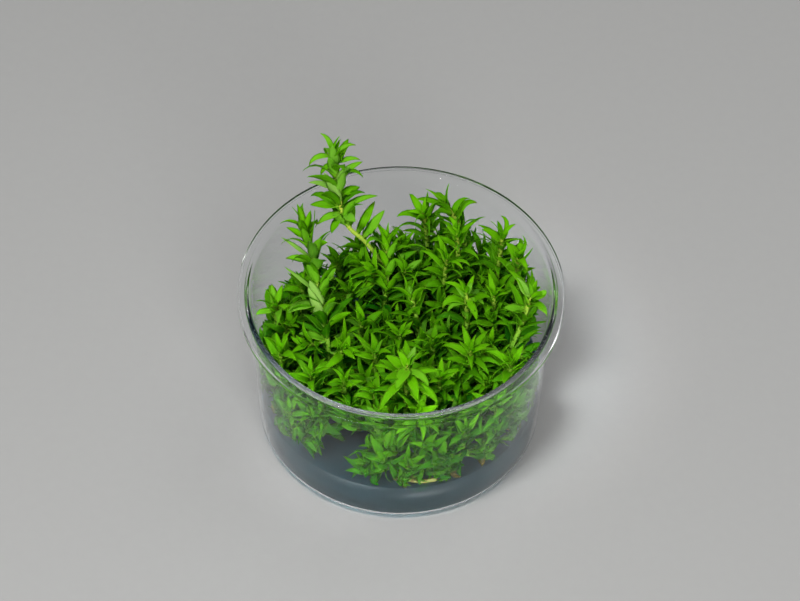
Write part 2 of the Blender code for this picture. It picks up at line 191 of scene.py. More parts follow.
# Leaves that show most: height on the stem, then from there to the tip (to the right, up and nearer, for a
# viewer in front who looks down at VIEW_ANGLE), width, bend, olive share of the tip and painted sheen, a
# paler colour where the blade would catch the light
VIEW_ANGLE = 52.0
FACING = 0.75  # how far these leaves turn their blades to that viewer
SHOWN_LEAVES = {
    "tall_shoot": [
        (55, 5.8, 9.1, 1, 3.7, 20, 0.6, 0.1),
        (57, 4.6, 10.4, -1, 3.5, 15, 0.9, 0),
        (60, 1.2, 6.4, -1, 2, 10, 0.3, 0),
        (61, -4.3, 3.7, 4.5, 4.1, 40, 0.2, 0.2),
        (63, 2.6, 5.8, 5.5, 3.8, 25, 0.2, 0.1),
        (64, -3, -5, -1, 2.9, 50, 0.2, 0),
        (64.5, 3.6, -2, 3.6, 3.6, 50, 0.1, 0.2),
        (65, -7, -3.4, 2, 2.8, 60, 0.9, 0.1),
        (66.5, 10.7, 4, -1, 2.4, 40, 0.7, 0.1),
        (67, -9, 0.6, -1, 3.2, 30, 0.1, 0),
        (68.5, -4.4, 9, 7, 4, 14, 0, 0.8),
        (70, 5.8, 3.2, -2.5, 3.6, 30, 0.2, 0),
        (71, 1.4, 6.6, 6, 3.6, 25, 0.1, 0.3),
        (72, -8.6, 2.4, 0.5, 2.2, 50, 0.5, 0.6),
        (74, 3.4, 5.6, 6, 3.4, 28, 0.2, 0.5),
        (76, 7.4, 4.9, 0.5, 2.6, 30, 0.8, 0.1),
        (76.5, -2.2, 5.6, 6, 3.6, 30, 0.2, 0.2),
        (78.5, -1, 7.2, 5.8, 4, 14, 0.2, 0.3),
        (80, 7.2, 1.4, -1, 1.9, 65, 0.9, 0.1),
        (80.5, -3.6, -3.8, -1, 2, 60, 0.3, 0),
        (82, 4.6, 4.6, -0.5, 2.6, 15, 0.8, 0),
        (82.2, -7.2, -3, 1.5, 2.2, 105, 0.9, 0.1),
        (83, 6.6, 2.8, -0.5, 1.6, 75, 0.9, 0.1),
        (83.2, 1.8, 4.4, 0, 1.3, 8, 0.5, 0),
    ],
    "left_shoot": [
        (38, 7.3, 3.4, 3, 3.4, 45, 0.3, 0),
        (40, -8.5, 2.4, 3, 3, 50, 0.2, 0.1),
        (43, -5.2, 13, 3, 4.4, 10, 0, 0.95),
        (43, 7.3, 5.2, 3, 3.2, 40, 0.3, 0),
        (45, 3, 6.6, 3.6, 3.6, 30, 0.2, 0),
        (47, -3.6, 8.4, 3.5, 4.2, 10, 0, 0.9),
        (47, -10, -2, 2, 4.1, 75, 0.1, 0.2),
        (49, 2.2, 6.4, 3.4, 3.4, 30, 0.2, 0.1),
        (50, -10.4, 8, -1, 1.7, 6, 0.4, 0.5),
        (51, 4.6, 6.2, -1.5, 3.6, 18, 0.3, 0.1),
        (52, -3.2, 5.8, 4, 3.6, 35, 0.2, 0.1),
        (54.5, 0.8, 3.6, 6.5, 4.6, 60, 0.1, 0.2),
        (56, -8.4, 1.6, 1.5, 3, 45, 0.9, 0.1),
        (57, -9.6, 6.6, -1, 1.7, 12, 0.5, 0.6),
        (57.5, 2, 5.4, 4.4, 3.4, 30, 0.3, 0.1),
        (59, 4.6, 1.8, 2, 2.8, 45, 0.7, 0),
        (59.5, -2.4, 5.4, 4.2, 3.1, 30, 0.3, 0.1),
        (60.5, -6.4, 4.2, 0.5, 2.6, 38, 0.8, 0),
        (62, -2, 6.8, 1, 2.6, 12, 0.8, 0),
        (62.5, 1.2, 6, 2.5, 2.4, 10, 0.6, 0),
    ],
    "front_shoot": [
        (47, 6, -8, 3, 2.6, 80, 0.1, 0),
        (49, 9, -6.4, 2, 3.2, 85, 0.1, 0),
        (50, -7.6, -9.6, 2, 2.9, 75, 0.1, 0),
        (51, 9.4, 1.6, 1, 2, 60, 0.3, 0),
        (51.5, -9.6, 2.6, 0, 2, 60, 0.4, 0),
        (52, 3, -7.4, 5, 3.6, 80, 0.1, 0),
        (53, 6.2, -4.6, 3, 2.8, 110, 0.2, 0.1),
        (53, -6.2, 4.6, 1.5, 3.8, 35, 0.1, 0),
        (53.5, -3, -5.6, 5.6, 4.4, 85, 0, 0.05),
        (54, 2.1, 6.6, 1, 2.8, 15, 0, 0.3),
        (54.5, -2, 5.4, -0.5, 1.8, 15, 0.2, 0),
    ],
    "rear_shoot": [
        (40, 3, 5.6, 4, 3.1, 35, 0.3, 0),
        (42.5, -3.2, 5.6, 4.4, 3.1, 35, 0.4, 0),
        (45, 2, 6, 4.6, 3.1, 30, 0.4, 0.1),
        (47.5, -2.4, 5.6, 4.6, 2.9, 35, 0.5, 0),
        (50, 2.2, 5, 4, 2.6, 30, 0.6, 0.1),
        (52, -1.6, 5, 3.6, 2.4, 25, 0.6, 0),
    ],
    "left_wall_shoot": [
        (43, -7, -1.6, 1, 2.2, 40, 0.9, 0.1),
        (44, 5.4, 0, 1, 2.2, 45, 0.8, 0),
        (45, -1.4, 6.4, 0, 2.4, 10, 0.9, 0.1),
        (45.5, 1.8, 6, 0, 2.2, 15, 0.9, 0),
    ],
    "curled_shoot": [
        (48, -5.6, -3, 2.5, 1.9, 120, 0.2, 0.1),
        (49, 5, -1.4, 2, 1.8, 120, 0.3, 0.1),
        (49.5, 3, -6.4, 3, 2.6, 80, 0.1, 0),
        (50, -3.4, 3.6, 1.5, 2.6, 60, 0.1, 0.2),
        (51, 1.4, 3.6, 1.5, 2.2, 40, 0.2, 0.2),
    ],
    "right_shoot": [
        (50, 6, -4.4, 1, 2.8, 60, 0.7, 0.1),
        (50.5, 6.4, 3.2, 0, 2.9, 25, 0.8, 0.1),
        (51, -4, 6.4, 1, 3.6, 15, 0.1, 0.4),
        (47, -6.4, 1, 3, 3.4, 35, 0.2, 0.1),
    ],
}

# Spaces that stay free of leaves, as lowest and highest corners
HEADSPACES = {
    "back": ((-9.5, 33, 34), (0.5, 42.5, 64)),
    "front_left": ((-22.5, -37, 18.5), (-10, -29, 64)),
    "right_low": ((34, 2, 17.5), (43.5, 11, 32)),
    "right_high": ((36, -9, 30), (46, -1, 62)),
}

OLD_STEM = ((2.2, -40.2, 18.1), (7.0, -41.0, 18.2), (12.0, -40.0, 18.1))
OLD_STEM_RADIUS = 0.65
OLD_STEM_KNOTS = (0.0, 2.4, 6.1, 9.9)  # lengths from its left end
OLD_STEM_TAPER = 0.1

# Rows of a leaf from its sheath to its tip, and its section: how far across, from -1 to 1, and which face,
# 1 for the upper and -1 for the lower
LEAF_ROWS = np.array([0.0, 0.1, 0.25, 0.43, 0.62, 0.79, 0.92])
ACROSS = np.array([-1, -0.5, 0, 0.5, 1, 0.5, 0, -0.5])
FACE = np.array([0, 1, 1, 1, 0, -1, -1, -1])
LEAF_FOOT = 0.2  # where a leaf's widths start, as a share of its length
LEAF_SWELL = 0.45  # how fast a leaf widens above its sheath
BEND_POWER = 1.6  # a leaf bends as this power of the way to its tip
YOUNG_REACH = 3.4  # length below a tip over which leaves grow to full size
LOW_REACH = 10.0  # length above a shoot's first leaf over which leaves are smaller
LEAST_SPACING = 0.3  # stem between two leaves at the tip
SHOWN_CLEARANCE = 0.22  # a leaf of the spiral gives way to a shown one whose height is nearer than this
WITHERED = (0.1, 24.0)  # share of the leaves that are withered, and the height below which they are
WITHERED_FALL = 135
STEM_SIDES = 10
STEM_TAPER = 3.5  # length over which a stem is drawn in below its tip
KNOT_WIDTH = 0.35
KNOT_SWELL = 0.12
STEM_PALES = (34.0, 34.0)  # height from which stems get paler, and length over which they do
VALUES = ("tone", "youth", "painted_sheen", "wither", "knot")  # what each point of a plantlet holds for its finishes

# Stage: lamps as (place, size, power) in metres and watts, each facing the origin
LAMPS = {
    "key": ((-0.3, -0.3, 0.9), 0.22, 8.5),
    "front": ((0.3, -0.85, 0.5), 0.4, 5.5),
    "back": ((0.45, 0.4, 0.6), 0.5, 1.5),
}
ROOM_COLOUR = (1.0, 0.99, 0.97, 1.0)
ROOM_LIGHT = 0.17
FLOOR_REACH = 4.0
CAMERA_AIM = (-0.0003, 0.0, 0.05485)
CAMERA_ROLL = 1.0
BOUNCES = 64  # enough for light that runs along inside the clear wall


def a_length(name, description, default):
    return FloatProperty(name=name, description=description, default=default, unit="LENGTH", precision=5)


def a_colour(name, description, default):
    return FloatVectorProperty(name=name, description=description, default=default, subtype="COLOR")


class CupSettings(PropertyGroup):
    segments: IntProperty(name="Segments", description="Steps round the cup", default=360, min=24)
    tint: a_colour("Tint", "Colour of the clear plastic", (0.97, 0.985, 0.99))
    gloss: FloatProperty(name="Roughness", description="How dull the plastic is", default=0.012, min=0.0)


class GelSettings(PropertyGroup):
    meniscus: a_length("Meniscus", "Climb of the gel at the wall", 0.0011)
    tint: a_colour("Tint", "Colour of the milky gel", (0.17, 0.31, 0.36))


class PlantSettings(PropertyGroup):
    leaf_length: a_length("Leaf length", "Length of a full-grown leaf", 0.0108)
    leaf_width: a_length("Leaf width", "Width of a full-grown leaf", 0.0030)
    stem_radius: a_length("Stem radius", "Radius of a stem", 0.00062)
    leaf_gap: a_length("Leaf gap", "Stem between two leaves low on a shoot", 0.00115)
    # Colours that leaves are mixed between by age, and also by height: painted light high in the bed, painted
    # shade low in it
    young_and_lit: a_colour("Young leaf", "Colour near the tips", (0.19, 0.57, 0.002))
    old_and_shaded: a_colour("Old leaf", "Colour low in the bed", (0.009, 0.12, 0.001))


class StageSettings(PropertyGroup):
    floor: a_colour("Floor", "Colour of the floor", (0.33, 0.33, 0.325))
    distance: a_length("Camera distance", "From the camera to its aim", 1.0)
    height_angle: FloatProperty(
        name="Camera height",
        description="Angle above the horizon",
        default=math.radians(VIEW_ANGLE),
        subtype="ANGLE",
    )
    lens: FloatProperty(name="Lens", description="Focal length in millimetres", default=147.6)


class Wire:
    """An output socket of a node tree. Arithmetic on it adds Math nodes and gives a Wire again."""

    def __init__(self, socket):
        self.socket = socket

    def maths(self, operation, *operands):
        node = self.socket.id_data.nodes.new("ShaderNodeMath")
        node.operation = operation
        for slot, value in zip(node.inputs, operands):
            join(value, slot)
        return Wire(node.outputs[0])

    def __add__(self, other):
        return self.maths("ADD", self, other)

    def __sub__(self, other):
        return self.maths("SUBTRACT", self, other)

    def __rsub__(self, other):
        return self.maths("SUBTRACT", other, self)

    def __mul__(self, other):
        return self.maths("MULTIPLY", self, other)

    def __abs__(self):
        return self.maths("ABSOLUTE", self)

    def sine(self):
        return self.maths("SINE", self)

    __radd__ = __add__


def join(value, slot):
    """Links a Wire to a socket, or sets the socket to a plain value."""
    if isinstance(value, Wire):
        value.socket.id_data.links.new(value.socket, slot)
    elif slot.type == "RGBA" and len(value) == 3:
        slot.default_value = (*value, 1.0)
    else:
        slot.default_value = value


class Finish:
    """A material while its nodes are being joined."""

    def __init__(self, name):
        self.material = bpy.data.materials.new(name)
        self.material.use_nodes = True
        self.tree = self.material.node_tree
        self.shader = self.tree.nodes["Principled BSDF"]
        self.output = self.tree.nodes["Material Output"]

    def add(self, kind, settings, sockets, output=0):
        """Adds a node: its settings first, then its sockets, by name or number. Gives one of its outputs."""
        node = self.tree.nodes.new(kind)
        for key, value in settings.items():
            setattr(node, key, value)
        for key, value in sockets.items():
            join(value, node.inputs[key])
        return Wire(node.outputs[output])

    def principled(self, **values):
        """Sets or links the Principled shader's sockets, with _ for the spaces in their names."""
        for key, value in values.items():
            join(value, self.shader.inputs[key.replace("_", " ")])

    def place(self):
        return self.add("ShaderNodeTexCoord", {}, {}, "Object")

    def axis(self, vector, number):
        """One part of a vector."""
        return self.add("ShaderNodeSeparateXYZ", {}, {0: vector}, number)

    def attribute(self, name):
        return self.add("ShaderNodeAttribute", {"attribute_name": name}, {}, "Fac")

    def noise(self, scale, detail=2.0):
        """Noise from 0 to 1 in the piece's own space, with scale in cells for each metre."""
        return self.add("ShaderNodeTexNoise", {}, {"Vector": self.place(), "Scale": scale, "Detail": detail})

    def ease(self, value, low, high, start=0.0, end=1.0):
        """A smooth step from start to end as the value goes from low to high."""
        sockets = {"Value": value, "From Min": low, "From Max": high, "To Min": start, "To Max": end}
        return self.add("ShaderNodeMapRange", {"interpolation_type": "SMOOTHSTEP"}, sockets)

    def mix(self, share, first, second):
        """The first colour where the share is 0, and the second where it is 1."""
        return self.add("ShaderNodeMix", {"data_type": "RGBA"}, {0: share, 6: first, 7: second}, 2)

    def bump(self, height, distance, strength=1.0):
        sockets = {"Height": height, "Distance": distance, "Strength": strength}
        return self.add("ShaderNodeBump", {}, sockets)

    def blend_shader(self, share, other):
        """Sends a mix of the Principled shader and another one to the output."""
        principled = Wire(self.shader.outputs[0])
        mixed = self.add("ShaderNodeMixShader", {}, {0: share, 1: principled, 2: other})
        join(mixed, self.output.inputs["Surface"])

    def glow_through(self, share, colour):
        """Lets a share of the light through, scattered and coloured."""
        self.blend_shader(share, self.add("ShaderNodeBsdfTranslucent", {}, {"Color": colour}))

    def thin_shadow(self, share, colour):
        """Lets a share of the light pass straight on, coloured, where there would be a shadow."""
        shadow = self.add("ShaderNodeLightPath", {}, {}, "Is Shadow Ray")
        self.blend_shader(shadow * share, self.add("ShaderNodeBsdfTransparent", {}, {"Color": colour}))


def leaf_finish(settings):
    """Living leaf: deep green on aged leaves and, as painted shade, low in the bed, to lime at the tips and,
    as painted light, high in it; paler at the sheath, with fine veins, a painted highlight along the edges
    and painted sheen on some blades.
    """
    look = Finish("leaf")
    uv = look.add("ShaderNodeUVMap", {"uv_map": "leaf"}, {})
    across, along, height = look.axis(uv, 0), look.axis(uv, 1), look.axis(look.place(), 2)
    youth, tone = look.attribute("youth"), look.attribute("tone")
    mottle = look.noise(900.0)
    # Painted shade and light: besides age and a random tone, height mixes leaves towards the dark colour low
    # in the bed and towards the lime one high up
    freshness_and_height_shade = youth * 0.65 + look.ease(height, 0.022, 0.056) * 0.5 + tone * 0.2 - 0.29
    green = look.mix(freshness_and_height_shade + (mottle - 0.5) * 0.2, tuple(settings.old_and_shaded), tuple(settings.young_and_lit))
    sheath = look.ease(along, 0.0, 0.2, 0.8, 0.0)
    midrib = look.ease(abs(across - 0.5), 0.0, 0.05, 0.3, 0.0)
    # Painted highlight: a lighter yellow-green along the blade's edges, stronger on leaves near the tips
    painted_edge_highlight = look.ease(abs(across - 0.5), 0.4, 0.49, 0.0, 0.45)
    vein = (across * 44.0).sine()
    tip = look.ease(along, 0.8, 1.0) * look.ease(tone, 0.5, 0.95)
    for share, colour in (
        # Painted sheen: a paler grey-green where a blade would catch the light
        (look.attribute("painted_sheen"), (0.38, 0.64, 0.13)),
        (sheath * (0.2 + youth * 0.7), (0.44, 0.74, 0.05)),
        (midrib * (1 - along), (0.34, 0.62, 0.04)),
        (painted_edge_highlight * (0.3 + youth), (0.42, 0.72, 0.06)),
        (vein * 0.06 + 0.06, (0.01, 0.09, 0.005)),
        (tip * 0.7, (0.15, 0.13, 0.015)),
    ):
        green = look.mix(share, green, colour)
    dead = look.mix(mottle, (0.07, 0.035, 0.01), (0.20, 0.15, 0.03))
    look.principled(
        Base_Color=look.mix(look.attribute("wither"), green, dead),
        Roughness=0.4 + mottle * 0.2,
        Specular_IOR_Level=0.04,
        Normal=look.bump(vein, 0.00003, 0.6),
    )
    look.glow_through(0.2 + youth * 0.2, (0.21, 0.76, 0.003))
    return look.material


def stem_finish():
    """Stem: green to pale yellow-green, yellower at the knots, faintly uneven."""
    look = Finish("stem")
    mottle = look.noise(700.0)
    youth = look.attribute("youth")
    green = look.mix(youth * 0.7 + mottle * 0.3, (0.09, 0.36, 0.01), (0.36, 0.68, 0.08))
    knot = look.attribute("knot") * (0.1 + youth * 0.9)
    look.principled(
        Base_Color=look.mix(knot, green, (0.64, 0.62, 0.06)),
        Roughness=0.42 + mottle * 0.15,
        Specular_IOR_Level=0.2,
        Normal=look.bump(mottle, 0.00005, 0.5),
    )
    look.glow_through(0.2, (0.42, 0.74, 0.08))
    return look.material


def old_stem_finish():
    """Old cut stem: straw yellow with brown streaks and browner ends."""
    look = Finish("old_stem")
    mottle = look.noise(500.0, 4.0)
    straw = look.mix(mottle, (0.26, 0.30, 0.04), (0.46, 0.46, 0.13))
    look.principled(
        Base_Color=look.mix(look.attribute("knot"), straw, (0.33, 0.20, 0.05)),
        Roughness=0.5 + mottle * 0.15,
        Normal=look.bump(mottle, 0.00008, 0.6),
    )
    return look.material


def cup_finish(settings):
    """Clear moulded plastic: glossy, with a faint unevenness that the moulding leaves."""
    look = Finish("clear_cup")
    scuffs = look.noise(2600.0, 3.0)
    look.principled(
        Base_Color=tuple(settings.tint),
        Roughness=settings.gloss + look.ease(scuffs, 0.55, 0.8) * 0.02,
        IOR=1.2,
        Specular_Tint=(0.15, 0.15, 0.15),
        Transmission_Weight=1.0,
        Normal=look.bump(look.noise(55.0, 1.0), 0.00002, 0.3),
    )
    look.thin_shadow(1.0, (0.93, 0.95, 0.95))
    return look.material


def gel_finish(settings):
    """Milky set gel: blue-grey, half clear, darker with depth and faintly clouded."""
    look = Finish("gel")
    cloud = look.noise(90.0, 3.0)
    look.principled(
        Base_Color=look.mix(cloud * 0.5, tuple(settings.tint), (0.26, 0.42, 0.46)),
        Roughness=0.28,
        IOR=1.34,
        Specular_Tint=(0.4, 0.4, 0.4),
        Transmission_Weight=0.92,
        Normal=look.bump(cloud, 0.0004, 0.35),
    )
    look.thin_shadow(0.8, (0.60, 0.68, 0.72))
    depth = look.add("ShaderNodeVolumeAbsorption", {}, {"Color": (0.12, 0.36, 0.44), "Density": 95.0})
    join(depth, look.output.inputs["Volume"])
    return look.material


def floor_finish(settings):
    """Plain matt floor with a faint grain."""
    look = Finish("floor")
    grain = look.noise(300.0, 3.0)
    shade = tuple(0.96 * value for value in settings.floor)
    look.principled(Base_Color=look.mix(grain, shade, tuple(settings.floor)), Roughness=0.6)
    return look.material


def wire_path(points, steps=12):
    """A smooth curve through points: cubics, each end of which runs along its neighbours' chord."""
    given = np.array(points, dtype=float)
    padded = np.concatenate([[2 * given[0] - given[1]], given, [2 * given[-1] - given[-2]]])
    t = np.linspace(0, 1, steps, endpoint=False)[:, None]
    spans = []
    for before, here, after, beyond in zip(padded, padded[1:], padded[2:], padded[3:]):
        leave, arrive = 0.5 * (after - before), 0.5 * (beyond - here)
        spans.append(
            (2 * t**3 - 3 * t**2 + 1) * here
            + (t**3 - 2 * t**2 + t) * leave
            + (3 * t**2 - 2 * t**3) * after
            + (t**3 - t**2) * arrive
        )
    return np.concatenate(spans + [given[-1:]])


def lengths_along(points):
    return np.concatenate([[0], np.cumsum(np.linalg.norm(np.diff(points, axis=0), axis=1))])


def walk(points, stations):
    """The points at given lengths along a polyline."""
    length = lengths_along(points)
    return np.stack([np.interp(stations, length, points[:, i]) for i in range(3)], axis=1)


def unit(vectors):
    return vectors / np.linalg.norm(vectors, axis=-1, keepdims=True)


def frames(points):
    """Unit directions along a path: ahead, then side and front square to it. The side is also square to the
    axis that the path runs along least."""
    ahead = unit(np.gradient(points, axis=0))
    fixed = np.eye(3)[np.argmin(np.abs(points[-1] - points[0]))]
    side = unit(np.cross(fixed, ahead))
    return ahead, side, np.cross(ahead, side)


def stand_on(path, stations):
    """The points at given lengths along a path, and the directions ahead, side and front there."""
    last = lengths_along(path)[-1]
    pick = np.round(np.clip(stations / last, 0, 1) * 99).astype(int)
    directions = frames(walk(path, np.linspace(0, last, 100)))
    return walk(path, stations), *(direction[pick] for direction in directions)


def ring_faces(rings, sides):
    """Quads between rings of points that follow each other, each ring closed."""
    row, column = np.meshgrid(np.arange(rings - 1), np.arange(sides), indexing="ij")
    after = (column + 1) % sides
    here, above = row * sides, (row + 1) * sides
    return np.stack([here + column, here + after, above + after, above + column], axis=-1).reshape(-1, 4)


def fan_faces(ring_start, sides, pole, outward):
    """Triangles from a ring to a pole. Outward is True where the pole ends the ring's run."""
    column = np.arange(sides)
    after = (column + 1) % sides
    pair = (column, after) if outward else (after, column)
    return np.stack([pair[0] + ring_start, pair[1] + ring_start, np.full(sides, pole)], axis=-1)


def rounded(corners, steps=5):
    """An outline with eased corners: each is a quadratic curve between the points its reach away."""
    rows = np.array(corners, dtype=float)
    t = np.linspace(0, 1, steps)[:, None]
    line = [rows[:1, :2]]
    for before, here, after in zip(rows, rows[1:], rows[2:]):
        corner = here[:2]
        start = corner + here[2] * unit(before[:2] - corner)
        end = corner + here[2] * unit(after[:2] - corner)
        line.append((1 - t) ** 2 * start + 2 * t * (1 - t) * corner + t**2 * end)
    return np.concatenate(line + [rows[-1:, :2]])


def turned(outline, segments):
    """A body turned about Z: each point goes round as radius times cosine and sine of the angle. The outline
    starts and ends on the axis, and runs up the outside."""
    angles = np.linspace(0, 2 * np.pi, segments, endpoint=False)
    radius, height = outline[1:-1, 0][:, None], outline[1:-1, 1][:, None]
    rings = np.stack([radius * np.cos(angles), radius * np.sin(angles), height + 0 * angles], axis=-1)
    count = len(outline) - 2
    poles = np.array([[0, 0, outline[0, 1]], [0, 0, outline[-1, 1]]])
    vertices = np.concatenate([rings.reshape(-1, 3), poles])
    first_pole = count * segments
    quads = ring_faces(count, segments)
    start = fan_faces(0, segments, first_pole, False)
    end = fan_faces((count - 1) * segments, segments, first_pole + 1, True)
    return vertices, [quads, start, end]


def add_object(name, data):
    made = bpy.data.objects.new(name, data)
    bpy.context.scene.collection.objects.link(made)
    return made


def make_piece(name, vertices, faces, finishes, values, uv=None, second=None):
    """A finished piece. Values are attributes on the points, uv is a pair for each point, and second is 1 for
    the faces that take the second finish."""
    mesh = bpy.data.meshes.new(name)
    polygons = [polygon for group in faces for polygon in group.tolist()]
    mesh.from_pydata((vertices * MM).tolist(), [], polygons)
    for key, numbers in values.items():
        layer = mesh.attributes.new(key, "FLOAT", "POINT")
        layer.data.foreach_set("value", np.ascontiguousarray(numbers, dtype=np.float32))
    if uv is not None:
        corners = np.empty(len(mesh.loops), dtype=np.int32)
        mesh.loops.foreach_get("vertex_index", corners)
        layer = mesh.uv_layers.new(name="leaf")
        layer.data.foreach_set("uv", uv[corners].astype(np.float32).ravel())
    for finish in finishes:
        mesh.materials.append(finish)
    if second is not None:
        mesh.polygons.foreach_set("material_index", second.astype(np.int32))
    mesh.shade_smooth()
    mesh.validate()
    piece = add_object(name, mesh)
    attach(piece, ROOT)
    return piece


def inner_radius(height):
    """Radius of the cup's inner wall at heights, in millimetres."""
    share = (height - WALL_FOOT[1]) / (WALL_HEAD[1] - WALL_FOOT[1])
    return WALL_FOOT[0] + (WALL_HEAD[0] - WALL_FOOT[0]) * np.clip(share, 0, 1)


def girth_at(from_tip, radius, taper):
    """A stem's radius: drawn in over a length below its tip, as the 0.7th power of the way from it."""
    return radius * (0.35 + 0.65 * np.clip(from_tip / taper, 0, 1) ** 0.7)


def stem_tube(axis, radius, knots, taper):
    """A stem's skin: circles across its axis, a little wider at each knot, closed to a point at both ends.
    Gives points, faces and how near each point is to a knot."""
    last = lengths_along(axis)[-1]
    stations = np.linspace(0, last, max(8, int(last / 0.5)))
    centres, ahead, side, front = stand_on(axis, stations)
    nearness = np.exp(-((np.abs(stations[:, None] - knots[None]).min(axis=1) / KNOT_WIDTH) ** 2))
    girth = girth_at(last - stations, radius, taper) * (1 + KNOT_SWELL * nearness)
    angles = np.linspace(0, 2 * np.pi, STEM_SIDES, endpoint=False)[:, None]
    round_way = np.cos(angles) * side[:, None] + np.sin(angles) * front[:, None]
    rings = centres[:, None] + girth[:, None, None] * round_way
    count = len(centres)
    ends = np.stack([centres[0] - 0.3 * radius * ahead[0], centres[-1] + 0.3 * radius * ahead[-1]])
    vertices = np.concatenate([rings.reshape(-1, 3), ends])
    pole = count * STEM_SIDES
    faces = [
        ring_faces(count, STEM_SIDES),
        fan_faces(0, STEM_SIDES, pole, False),
        fan_faces(pole - STEM_SIDES, STEM_SIDES, pole + 1, True),
    ]
    return vertices, faces, np.concatenate([np.repeat(nearness, STEM_SIDES), nearness[[0, -1]]])


def midribs(leaves, rows):
    """Midrib points and directions of leaves. Each midrib turns from its rise to its fall away from the stem
    and sways sideways a little, and its points add up the small steps along that direction."""
    turn = leaves["rise"][:, None] + (leaves["fall"] - leaves["rise"])[:, None] * rows**BEND_POWER
    sway = leaves["sway"][:, None] * rows
    ahead = leaves["ahead"][:, None]
    aside = np.cross(leaves["ahead"], leaves["out"])[:, None]
    out = np.cos(sway)[..., None] * leaves["out"][:, None] + np.sin(sway)[..., None] * aside
    along = np.cos(turn)[..., None] * ahead + np.sin(turn)[..., None] * out
    upper = np.sin(turn)[..., None] * ahead - np.cos(turn)[..., None] * out
    steps = 0.5 * (along[:, 1:] + along[:, :-1]) * np.diff(rows)[None, :, None]
    steps = steps * leaves["length"][:, None, None]
    points = leaves["base"][:, None] + np.concatenate([0 * steps[:, :1], np.cumsum(steps, axis=1)], axis=1)
    return points, along, upper


def half_widths(leaves):
    """Half widths of leaves at their rows: (t + 0.2)^0.45 (1 - t)^p over its greatest, p being about 0.9."""
    power = leaves["point"][:, None]
    widest = (LEAF_SWELL - LEAF_FOOT * power) / (LEAF_SWELL + power)
    most = (widest + LEAF_FOOT) ** LEAF_SWELL * (1 - widest) ** power
    half = 0.5 * leaves["width"][:, None]
    return half * (LEAF_ROWS + LEAF_FOOT) ** LEAF_SWELL * (1 - LEAF_ROWS) ** power / most


def leaf_sections(leaves):
    """How far the points of each row stand sideways and up from the midrib. A row is an arc that starts round
    the stem and flattens out. Its faces stand apart by a thickness that falls as 1 - u^2 to the edges."""
    eased = np.clip(LEAF_ROWS / 0.4, 0, 1)
    arc = 1.05 * leaves["girth"][:, None] + leaves["flat"][:, None] * (eased**2 * (3 - 2 * eased))
    angle = half_widths(leaves)[..., None] * ACROSS / arc[..., None]
    sideways = np.sin(angle) * arc[..., None]
    lift = (1 - np.cos(angle)) * arc[..., None]
    thick = 0.5 * leaves["thick"][:, None, None] * (1 - ACROSS**2) * FACE
    keel = 0.10 * (1 - LEAF_ROWS)[None, :, None] * (ACROSS == 0) * np.where(FACE < 0, -1.0, -0.4)
    ripple = leaves["ripple"][:, None, None] * np.sin(9 * LEAF_ROWS + 2)[None, :, None] * np.abs(ACROSS) ** 2
    return sideways, lift + thick + keel + ripple


def leaf_skins(leaves):
    """The skins of leaves as thin closed blades about their midribs, rolled a little on the way to the tip.
    Gives points, faces, uv and the number of points in one leaf."""
    rows = LEAF_ROWS
    count, run, sides = len(leaves["length"]), len(rows), len(ACROSS)
    points, along, upper = midribs(leaves, np.append(rows, 1.0))
    tips, points, along, upper = points[:, -1:], points[:, :-1], along[:, :-1], upper[:, :-1]
    across = np.cross(along, upper)
    roll = leaves["roll"][:, None, None] * np.clip(rows / 0.5, 0, 1)[None, :, None]
    cosine, sine = np.cos(roll), np.sin(roll)
    across, upper = cosine * across + sine * upper, cosine * upper - sine * across
    sideways, rise = leaf_sections(leaves)
    skin = points[:, :, None] + sideways[..., None] * across[:, :, None] + rise[..., None] * upper[:, :, None]
    vertices = np.concatenate([skin.reshape(count, run * sides, 3), tips], axis=1)
    size = run * sides + 1
    starts = (np.arange(count) * size)[:, None, None]
    quads = (ring_faces(run, sides)[None] + starts).reshape(-1, 4)
    ends = (fan_faces((run - 1) * sides, sides, size - 1, True)[None] + starts).reshape(-1, 3)
    caps = (np.arange(sides)[::-1][None] + starts[:, 0]).reshape(-1, sides)
    uv = np.stack([np.tile(0.5 + 0.5 * ACROSS, run), np.repeat(rows, sides)], axis=-1)
    uv = np.concatenate([uv, [[0.5, 1.0]]])
    return vertices.reshape(-1, 3), [quads, ends, caps], np.tile(uv, (count, 1)), size


def planned_stems():
    """All plantlets by name: stem axis, leaf size, turn of the first leaf, number and side shoots."""
    stems = {}
    for number, (name, (size, foot, *points)) in enumerate(PLANTLETS.items()):
        stems[name] = {
            "axis": wire_path([(*foot, GEL_TOP), *points]),
            "size": size,
            "turn": math.radians(number * TURN_BETWEEN_PLANTLETS % 360),
            "number": number,
            "branches": [wire_path(line, 6) for line in SHOWN_SIDE_SHOOTS.get(name, [])],
        }
    rng = np.random.default_rng(7)
    everywhere = list(stems.values())
    outer = [stem for stem in everywhere if np.hypot(*stem["axis"][0, :2]) > SKIRT_RADIUS]
    taken = np.concatenate([line for stem in everywhere for line in (stem["axis"], *stem["branches"])])
    for growing, (rounds, *ranges), skirt in ((everywhere, SIDE_SHOOTS, False), (outer, SKIRT_SHOOTS, True)):
        for stem in growing * rounds:
            axis = side_shoot(stem["axis"], taken, rng, ranges, skirt)
            if axis is not None:
                stem["branches"].append(axis)
                taken = np.concatenate([taken, axis[2:]])
    return stems


def distance_to(points, cloud):
    """Least distance from each point to a cloud of points."""
    return np.linalg.norm(points[:, None] - cloud[None], axis=2).min(axis=1)


def depth_in_boxes(points):
    """How far the nearest headspace box is from each point, 0 or less inside one."""
    boxes = [(np.array(low), np.array(high)) for low, high in HEADSPACES.values()]
    return np.min([np.maximum(low - points, points - high).max(axis=1) for low, high in boxes], axis=0)


